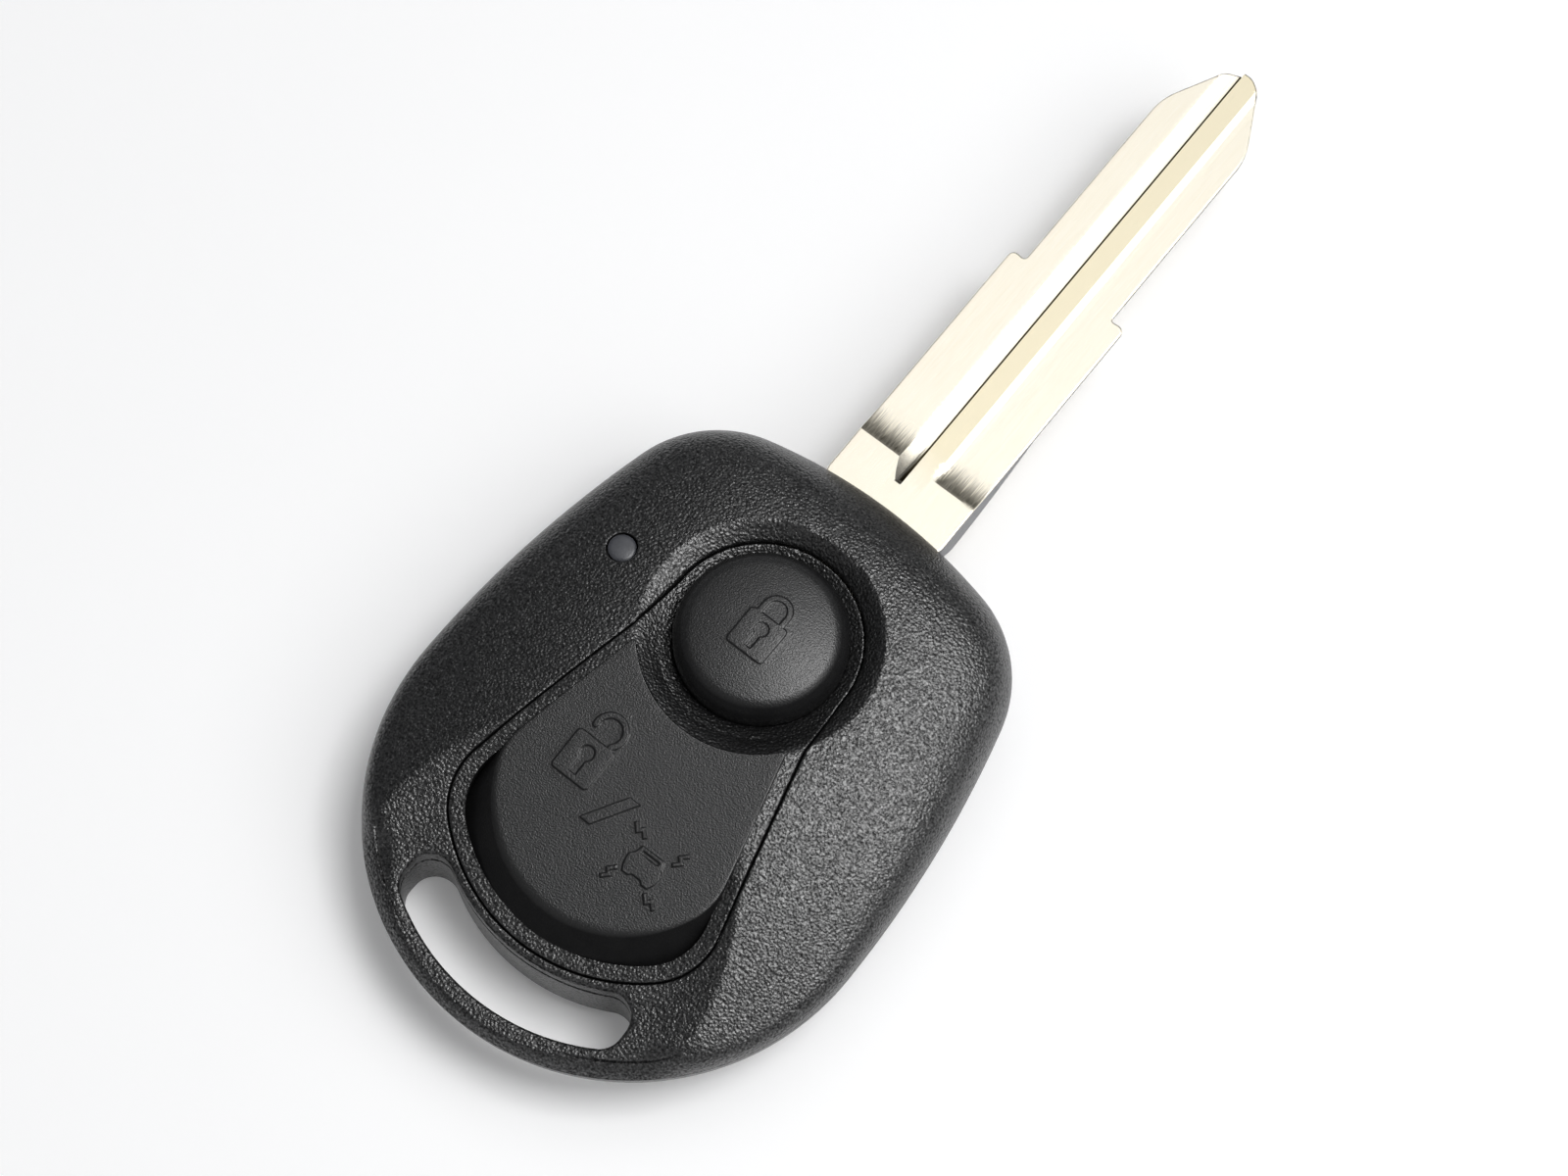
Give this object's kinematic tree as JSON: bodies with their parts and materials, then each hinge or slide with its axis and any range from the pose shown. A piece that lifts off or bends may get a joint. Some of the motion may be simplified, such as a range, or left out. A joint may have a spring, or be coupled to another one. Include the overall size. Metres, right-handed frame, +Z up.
{
  "type": "car key remote fob",
  "caption": "Car key with a black two-button remote head, a curved keyring slot and an uncut milled blade.",
  "frame": {"origin": "under the middle of the whole key, on the plane that the flat of its back rests on", "axes": "+X across the head, +Y along the blade towards its tip, +Z up out of the buttons"},
  "size_m": [0.0392, 0.094, 0.014],
  "materials": {
    "shell_plastic": "fine leather-like spark texture, satin",
    "button_rubber": "matte silicone rubber",
    "nickel_plate": "nickel plated, milled",
    "steel": "plain",
    "screw_steel": "black zinc",
    "lens": "smoked translucent",
    "board": "solder mask",
    "switch_plastic": "moulded",
    "chip_plastic": "moulded",
    "ceramic": "fired",
    "copper": "etched",
    "led": "clear"
  },
  "bodies": {
    "root": {"upper_shell": "shell_plastic", "lower_shell": "shell_plastic", "button_pad": "button_rubber", "key_blade": "nickel_plate", "blade_pin": "steel", "led_lens": "lens", "circuit_board": "board", "switch_bases": "switch_plastic", "switch_lids": "steel", "snap_discs": "steel", "led_chip": "led", "remote_chip": "chip_plastic", "saw_resonator": "steel", "quartz_crystal": "steel", "chip_capacitors": "ceramic", "chip_resistors": "chip_plastic", "antenna_trace": "copper", "coin_cell": "steel", "battery_contact_positive": "steel", "battery_contact_negative": "steel", "transponder_chip": "chip_plastic", "case_screws": "screw_steel"},
    "lock_button": {"lock_button": "button_rubber"},
    "unlock_button": {"unlock_button": "button_rubber"},
    "lock_plunger": {"lock_switch_plunger": "switch_plastic"},
    "unlock_plunger": {"unlock_switch_plunger": "switch_plastic"}
  },
  "joints": [
    {"name": "lock_button_press", "type": "slide", "parent": "root", "child": "lock_button", "axis": [0, 0, -1], "range_m": [0, 0.0005], "stiffness_N_per_m": 1500},
    {"name": "unlock_button_press", "type": "slide", "parent": "root", "child": "unlock_button", "axis": [0, 0, -1], "range_m": [0, 0.0005], "stiffness_N_per_m": 1500},
    {"name": "lock_plunger_press", "type": "slide", "parent": "root", "child": "lock_plunger", "axis": [0, 0, -1], "range_m": [0, 0.0005]},
    {"name": "unlock_plunger_press", "type": "slide", "parent": "root", "child": "unlock_plunger", "axis": [0, 0, -1], "range_m": [0, 0.0005]}
  ],
  "couplings": [
    {"joint": "lock_plunger_press", "follows": "lock_button_press", "ratio": 1},
    {"joint": "unlock_plunger_press", "follows": "unlock_button_press", "ratio": 1}
  ]
}
